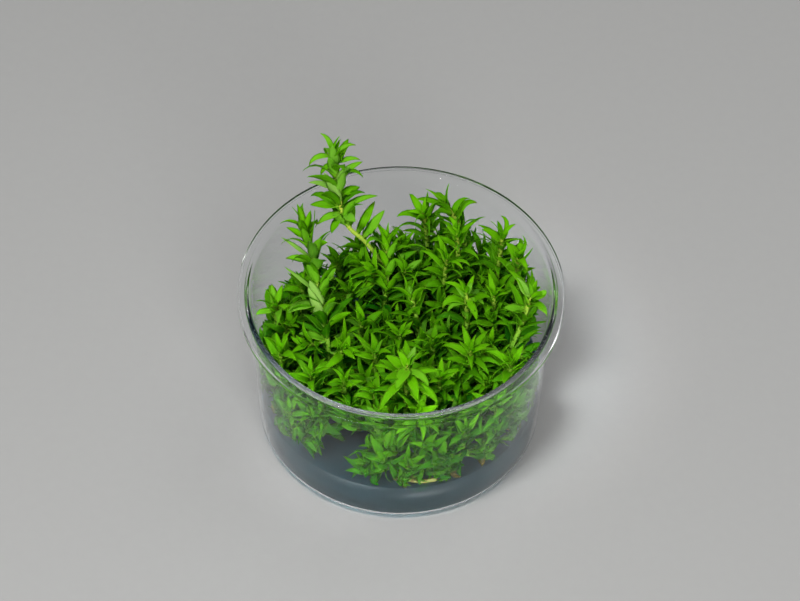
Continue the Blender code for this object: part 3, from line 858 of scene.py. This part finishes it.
def spaced_from_tip(leafy, gap):
    """Distances below the tip at which leaves stand. The spacing grows from the least to a full gap as
    1 - e^(-d/4), and the leaves are counted off along the sum of its inverse."""
    down = np.linspace(0, leafy, 200)
    spacing = LEAST_SPACING + (gap - LEAST_SPACING) * (1 - np.exp(-down / 4.0))
    counted = np.concatenate([[0], np.cumsum(np.diff(down) / spacing[1:])])
    return np.interp(np.arange(int(counted[-1])), counted, down)


def trouble(leaves, others):
    """How badly each leaf runs into the wall, the gel, other stems or a free space, or past the top."""
    spots = midribs(leaves, np.linspace(0, 1.0, 7))[0][:, 1:]
    count = len(spots)
    spots = spots.reshape(-1, 3)
    height = spots[:, 2]
    beyond = np.clip(np.hypot(spots[:, 0], spots[:, 1]) - inner_radius(height) + WALL_GAP, 0, None)
    beyond = np.where(height < MOUTH, 0.6 * beyond, 0)
    under = 0.6 * np.clip(GEL_TOP - DIP - height, 0, None)
    close = 1.5 * np.clip(STEM_GAP - distance_to(spots, others), 0, None)
    boxed = 3.0 * np.clip(SPACE_GAP - depth_in_boxes(spots), 0, 3.0)
    above = 2.0 * np.clip(height - CAD_BOX[1][2] / MM, 0, None)
    return (beyond + under + close + boxed + above).reshape(count, -1).sum(axis=1)


def freest(leaves, others):
    """Leaves as they stand, turned, lifted or shortened, whichever runs into least. Gives what is left."""
    tried = []
    for lift, turn, share in LEAF_TRIES:
        trial = dict(leaves)
        trial["fall"] = np.maximum(leaves["fall"] + lift, 0.2)
        trial["sway"] = leaves["sway"] + turn
        trial["length"] = leaves["length"] * share
        cost = 0.12 * (abs(lift) + abs(turn) + 4 * (1 - share))
        tried.append((trouble(trial, others) + cost, trial))
    scores = np.array([score for score, _ in tried])
    best = scores.argmin(axis=0)
    for key in ("fall", "sway", "length"):
        leaves[key] = np.choose(best, [trial[key] for _, trial in tried])
    return scores.min(axis=0)


def spiral_leaves(shoot, rng, settings, others):
    """Leaves in one spiral up a shoot, as a dict of arrays, and the lengths at which they stand. They are
    short and upright at the tip, arch over below it, and are smaller again low down."""
    axis, start, size = shoot["axis"], shoot["start"], shoot["size"]
    last = lengths_along(axis)[-1]
    from_tip = spaced_from_tip(last - start, shoot["gap"])
    stations = last - from_tip
    count = len(stations)
    centres, ahead, side, front = stand_on(axis, stations)
    angle = shoot["turn"] + np.radians(SPIRAL) * np.arange(count) + rng.normal(0, 0.3, count)
    out = np.cos(angle)[:, None] * side + np.sin(angle)[:, None] * front
    grown = np.clip((from_tip + 0.3) / YOUNG_REACH, 0, 1) ** 0.6
    low = 1 - shoot["low"] * np.clip(1 - (stations - start) / LOW_REACH, 0, 1)
    rise = 8 + 20 * grown + rng.normal(0, 6, count)
    arch = 10 + grown * np.clip(76 + rng.normal(0, 30, count), 0, None)
    length = settings.leaf_length / MM * size * (0.3 + 0.7 * grown) * low
    width = settings.leaf_width / MM * size**1.5 * (0.45 + 0.55 * grown)
    girth = girth_at(from_tip, shoot["girth"], STEM_TAPER)
    leaves = {
        "ahead": ahead,
        "out": out,
        "length": length * rng.uniform(0.78, 1.2, count),
        "width": width * rng.uniform(0.8, 1.25, count),
        "rise": np.radians(rise),
        "fall": np.radians(rise + arch),
        "sway": rng.normal(0, 0.45, count),
        "roll": rng.normal(0, 0.5, count),
        "flat": rng.uniform(1.2, 4.0, count),
        "thick": np.full(count, 0.2),
        "ripple": rng.normal(0, 0.06, count),
        "point": rng.uniform(0.75, 1.1, count),
        "tone": rng.uniform(0, 1, count),
        # Painted sheen on a few leaves, at random, as a paler colour
        "painted_sheen": np.clip(rng.normal(-0.3, 0.2, count), 0, 0.5),
        "youth": shoot["vigour"] * np.exp(-from_tip / 7.0),
        "girth": girth,
        "base": centres + girth[:, None] * out,
    }
    height = centres[:, 2]
    kept = (freest(leaves, others) < MOST_TROUBLE) & (height > GEL_TOP + 0.5)
    if shoot["shown"]:
        heights = np.array([row[0] for row in shoot["shown"]])
        kept &= np.abs(height[:, None] - heights).min(axis=1) > SHOWN_CLEARANCE
    low, high = shoot["bare"]
    kept &= (height < low) | (height > high)
    return {key: numbers[kept] for key, numbers in leaves.items()}, stations


def shown_leaves(shoot):
    """The leaves of one plantlet that are placed one by one. The way to the tip is the chord of the midrib,
    which bends evenly about it."""
    height, right, up, near, width, bend, tone, painted_sheen = np.array(shoot["shown"], dtype=float).T
    axis = shoot["axis"]
    along = lengths_along(axis)
    stations = np.interp(height, axis[:, 2], along)
    centres, ahead, _, _ = stand_on(axis, stations)
    view = math.radians(VIEW_ANGLE)
    upward = np.array([0, math.sin(view), math.cos(view)])
    nearer = np.array([0, -math.cos(view), math.sin(view)])
    chord = right[:, None] * (1.0, 0.0, 0.0) + up[:, None] * upward + near[:, None] * nearer
    length = np.linalg.norm(chord, axis=1)
    forward = (chord * ahead).sum(axis=1)
    out = unit(chord - forward[:, None] * ahead)
    slant, bend = np.arccos(forward / length), np.radians(bend)
    girth = girth_at(along[-1] - stations, shoot["girth"], STEM_TAPER)
    still = np.zeros(len(height))
    along_leaf = chord / length[:, None]
    upper = np.sin(slant)[:, None] * ahead - np.cos(slant)[:, None] * out
    eye = nearer * np.where(upper @ nearer < 0, -1.0, 1.0)[:, None]
    facing = np.arctan2(-(eye * np.cross(along_leaf, upper)).sum(axis=1), (eye * upper).sum(axis=1))
    return {
        "ahead": ahead,
        "out": out,
        "length": length * (1 + bend**2 / 24),
        "width": width,
        "rise": slant - bend / (BEND_POWER + 1),
        "fall": slant + bend - bend / (BEND_POWER + 1),
        "sway": still,
        "roll": FACING * facing,
        "flat": still + 3.0,
        "thick": still + 0.22,
        "ripple": still + 0.04,
        "point": still + 0.8,
        "tone": tone,
        # Painted sheen, as given for each shown leaf
        "painted_sheen": painted_sheen,
        "youth": np.clip(0.68 + 0.05 * near, 0.5, 1.0),
        "wither": still,
        "girth": girth,
        "base": centres + girth[:, None] * out,
    }


def side_shoot(axis, taken, rng, ranges, skirt):
    """The axis of a side shoot from low on a stem, towards the most open of sixteen directions, or None
    without room. A skirt shoot leans out towards the wall."""
    share = rng.uniform(0, 0.5)
    start = axis[np.searchsorted(axis[:, 2], SHOOT_FOOT + share * (axis[-1, 2] - SHOOT_FOOT))]
    reach, climb = (rng.uniform(*limits) for limits in ranges)
    angles = np.linspace(0, 2 * np.pi, 16, endpoint=False) + rng.uniform(0, 0.4)
    way = np.stack([np.cos(angles), np.sin(angles), 0 * angles], axis=-1)
    tips = start + reach * way + (0, 0, climb)
    clear = (np.hypot(tips[:, 0], tips[:, 1]) < SHOOT_RADIUS) & (depth_in_boxes(tips) > SHOOT_ROOM)
    if skirt:
        clear &= way[:, :2] @ unit(start[:2]) > 0.3
    room = np.where(clear, distance_to(tips, taken), -1.0)
    best = int(np.argmax(room))
    if room[best] < SHOOT_ROOM:
        return None
    middle = start + 0.6 * reach * way[best] + (0, 0, 0.35 * climb)
    return wire_path([start, middle, tips[best]], 6)


def keep_inside(vertices):
    """Leaves that reach the wall lie along it, and those that reach the gel dip into it a little. Over the
    last ease the way d is used up as 1 - e^(-d), so that a leaf keeps some thickness."""
    held = vertices.copy()
    radius, height = np.hypot(vertices[:, 0], vertices[:, 1]), vertices[:, 2]
    limit = inner_radius(height) - LEAF_TO_WALL - WALL_EASE
    over = np.where(height < MOUTH, np.clip(radius - limit, 0, None), 0)
    eased = np.where(over > 0, limit + WALL_EASE * (1 - np.exp(-over / WALL_EASE)), radius)
    held[:, :2] *= (eased / np.maximum(radius, 1e-6))[:, None]
    edge = GEL_TOP - DIP + GEL_EASE
    under = np.clip(edge - height, 0, None)
    held[:, 2] = np.where(under > 0, edge - GEL_EASE * (1 - np.exp(-under / GEL_EASE)), height)
    return held


def shoots_of(name, stem, settings, rng):
    """The main stem of a plantlet and its side shoots, with what each needs for its leaves."""
    radius, gap = settings.stem_radius / MM, settings.leaf_gap / MM
    main = stem | {"start": 1.2, "gap": gap, "low": 0.3, "vigour": 1.0}
    main["girth"] = radius * (0.6 + 0.4 * stem["size"])
    main |= {"shown": SHOWN_LEAVES.get(name), "bare": BARE_STEMS.get(name, NOT_BARE)}
    shoots = [main]
    for axis in stem["branches"]:
        shoot = {"axis": axis, "start": 1.0, "gap": gap * 1.1, "size": rng.uniform(0.82, 1.08), "low": 0.1}
        shoot |= {"turn": rng.uniform(0, 6.28), "girth": 0.62 * radius, "vigour": rng.uniform(0.45, 0.95)}
        shoot |= {"shown": None, "bare": NOT_BARE}
        shoots.append(shoot)
    return shoots


def leaves_of(shoot, rng, settings, others):
    """All leaves of a shoot, a few of the lowest withered, and the lengths at which its stem has knots."""
    leaves, knots = spiral_leaves(shoot, rng, settings, others)
    share, limit = WITHERED
    wither = (rng.uniform(0, 1, len(leaves["length"])) < share) & (leaves["base"][:, 2] < limit)
    leaves["fall"] = np.where(wither, np.radians(WITHERED_FALL), leaves["fall"])
    leaves["thick"] = np.where(wither, 0.14, leaves["thick"])
    leaves["wither"] = wither.astype(float)
    if shoot["shown"]:
        shown = shown_leaves(shoot)
        leaves = {key: np.concatenate([numbers, shown[key]]) for key, numbers in leaves.items()}
    return leaves, knots


def shoot_parts(shoot, leaves, knots, rooted):
    """A shoot's leaves and its stem, each as points, faces, uv, the values of its points and its finish."""
    skin, skin_faces, skin_uv, size_of_one = leaf_skins(leaves)
    per_leaf = np.stack([leaves[key] for key in VALUES[:-1]], axis=-1)
    skin_values = np.column_stack([np.repeat(per_leaf, size_of_one, axis=0), np.zeros(len(skin))])
    axis = shoot["axis"]
    if rooted:
        axis = np.concatenate([axis[:1] - (0, 0, SOCKET_DEPTH), axis])
        knots = knots + SOCKET_DEPTH
    tube, tube_faces, knot = stem_tube(axis, shoot["girth"], knots, STEM_TAPER)
    low, over = STEM_PALES
    youth = np.clip((tube[:, 2] - low) / over, 0, 1)
    still = np.zeros(len(tube))
    tube_values = np.column_stack([still, youth, still, still, knot])
    return (
        (keep_inside(skin), skin_faces, skin_uv, skin_values, 0),
        (tube, tube_faces, np.column_stack([still, youth]), tube_values, 1),
    )


def grow_plantlet(name, stem, cloud, settings, finishes):
    """One plantlet: its stem, its spiral of leaves and its side shoots, joined in one mesh."""
    rng = np.random.default_rng(100 + stem["number"])
    others = cloud[cloud[:, 3] != stem["number"]][:, :3]
    parts, faces, second, used = [], [], [], 0
    for number, shoot in enumerate(shoots_of(name, stem, settings, rng)):
        leaves, knots = leaves_of(shoot, rng, settings, others)
        parts += shoot_parts(shoot, leaves, knots, number == 0)
    for points, groups, _, _, finish in parts:
        faces += [group + used for group in groups]
        second += [np.full(len(group), finish) for group in groups]
        used += len(points)
    vertices, _, uv, values, _ = zip(*parts)
    layers = dict(zip(VALUES, np.concatenate(values).T))
    vertices, uv, second = np.concatenate(vertices), np.concatenate(uv), np.concatenate(second)
    piece = make_piece(f"{name}_plant", vertices, faces, finishes, layers, uv, second)
    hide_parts(name)
    return piece


def lay_floor(settings):
    """A square floor at the cup's foot."""
    mesh = bpy.data.meshes.new("floor")
    corners = [(x, y, 0) for y in (-FLOOR_REACH, FLOOR_REACH) for x in (-FLOOR_REACH, FLOOR_REACH)]
    mesh.from_pydata(corners, [], [(0, 1, 3, 2)])
    mesh.materials.append(floor_finish(settings))
    floor = add_object("floor", mesh)


def light_room():
    """Even light from the room, and broad lamps."""
    world = bpy.data.worlds.new("studio")
    world.use_nodes = True
    background = world.node_tree.nodes["Background"]
    background.inputs["Color"].default_value = ROOM_COLOUR
    background.inputs["Strength"].default_value = ROOM_LIGHT
    bpy.context.scene.world = world
    for name, (place, size, power) in LAMPS.items():
        lamp = bpy.data.lights.new(name, "AREA")
        lamp.size = size
        lamp.energy = power
        holder = add_object(name, lamp)
        holder.location = place
        holder.rotation_euler = Vector(place).to_track_quat("Z", "Y").to_euler()


def place_camera(settings):
    """The camera in front, looking down at its aim, and rolled a little."""
    away = Vector((0, -math.cos(settings.height_angle), math.sin(settings.height_angle)))
    lens = bpy.data.cameras.new("camera")
    lens.lens = settings.lens
    lens.clip_end = 20.0
    camera = add_object("camera", lens)
    turn = away.to_track_quat("Z", "Y").to_matrix().to_4x4()
    turn = turn @ Matrix.Rotation(math.radians(CAMERA_ROLL), 4, "Z")
    camera.matrix_world = Matrix.Translation(Vector(CAMERA_AIM) + settings.distance * away) @ turn
    bpy.context.scene.camera = camera


class CULTURE_OT_set_stage(Operator):
    """Lays the floor, hangs the lamps and sets the camera"""

    bl_idname = "culture.set_stage"
    bl_label = "Set Stage"

    def execute(self, context):
        settings = context.scene.culture_stage
        lay_floor(settings)
        light_room()
        place_camera(settings)
        context.scene.view_settings.view_transform = "Standard"
        cycles = context.scene.cycles
        cycles.max_bounces = cycles.glossy_bounces = cycles.transmission_bounces = BOUNCES
        return {"FINISHED"}


class CULTURE_OT_mould_cup(Operator):
    """Turns the clear cup from its outline"""

    bl_idname = "culture.mould_cup"
    bl_label = "Mould Cup"

    def execute(self, context):
        settings = context.scene.culture_cup
        vertices, faces = turned(rounded(CUP_OUTLINE), settings.segments)
        cup = make_piece("cup_clear", vertices, faces, [cup_finish(settings)], {})
        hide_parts("cup")
        return {"FINISHED"}


class CULTURE_OT_pour_gel(Operator):
    """Fills the cup's bottom with gel that climbs a little at the wall"""

    bl_idname = "culture.pour_gel"
    bl_label = "Pour Gel"

    def execute(self, context):
        settings = context.scene.culture_gel
        climb = settings.meniscus / MM
        width, fade = GEL_CLIMB
        edge = float(inner_radius(GEL_TOP)) - GEL_GAP
        rim = edge - width * (1 - np.linspace(1, 0, 14) ** 2)
        radii = np.concatenate([rim, np.linspace(edge - width, 0, 16)[1:]])
        top = np.column_stack([radii, GEL_TOP + climb * np.exp(-(edge - radii) / fade)])
        outline = np.concatenate([rounded([*GEL_FOOT, (*top[0], 0)])[:-1], top])
        vertices, faces = turned(outline, GEL_SEGMENTS)
        gel = make_piece("gel_body", vertices, faces, [gel_finish(settings)], {})
        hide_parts("gel")
        return {"FINISHED"}


class CULTURE_OT_grow_plantlets(Operator):
    """Grows every plantlet on its stem's path"""

    bl_idname = "culture.grow_plantlets"
    bl_label = "Grow Plantlets"

    def execute(self, context):
        settings = context.scene.culture_plants
        finishes = [leaf_finish(settings), stem_finish()]
        stems = planned_stems()
        axes = [(stem["axis"], stem["number"]) for stem in stems.values()]
        cloud = np.concatenate([np.column_stack([axis, np.full(len(axis), number)]) for axis, number in axes])
        for name, stem in stems.items():
            grow_plantlet(name, stem, cloud, settings, finishes)
        return {"FINISHED"}


class CULTURE_OT_lay_old_stem(Operator):
    """Lays the old cut stem on the gel"""

    bl_idname = "culture.lay_old_stem"
    bl_label = "Lay Old Stem"

    def execute(self, context):
        axis = wire_path(OLD_STEM)
        vertices, faces, knot = stem_tube(axis, OLD_STEM_RADIUS, np.array(OLD_STEM_KNOTS), OLD_STEM_TAPER)
        piece = make_piece("old_stem_piece", vertices, faces, [old_stem_finish()], {"knot": knot})
        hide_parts("old_stem")
        return {"FINISHED"}


class CULTURE_PT_sidebar(Panel):
    bl_label = "Culture Cup"
    bl_space_type = "VIEW_3D"
    bl_region_type = "UI"
    bl_category = "Culture Cup"

    def draw(self, context):
        for group, operator in (
            ("culture_stage", "culture.set_stage"),
            ("culture_cup", "culture.mould_cup"),
            ("culture_gel", "culture.pour_gel"),
            ("culture_plants", "culture.grow_plantlets"),
            (None, "culture.lay_old_stem"),
        ):
            box = self.layout.box()
            box.operator(operator)
            if group:
                for key in GROUPS[group].__annotations__:
                    box.prop(getattr(context.scene, group), key)


GROUPS = {
    "culture_cup": CupSettings,
    "culture_gel": GelSettings,
    "culture_plants": PlantSettings,
    "culture_stage": StageSettings,
}
CLASSES = (
    *GROUPS.values(),
    CULTURE_OT_set_stage,
    CULTURE_OT_mould_cup,
    CULTURE_OT_pour_gel,
    CULTURE_OT_grow_plantlets,
    CULTURE_OT_lay_old_stem,
    CULTURE_PT_sidebar,
)


def register():
    for made in CLASSES:
        bpy.utils.register_class(made)
    for name, group in GROUPS.items():
        setattr(bpy.types.Scene, name, PointerProperty(type=group))


def unregister():
    for name in GROUPS:
        delattr(bpy.types.Scene, name)
    for made in reversed(CLASSES):
        bpy.utils.unregister_class(made)


def main():
    register()
    bpy.ops.culture.set_stage()
    bpy.ops.culture.mould_cup()
    bpy.ops.culture.pour_gel()
    bpy.ops.culture.grow_plantlets()
    bpy.ops.culture.lay_old_stem()
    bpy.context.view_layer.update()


if __name__ == "__main__":
    main()
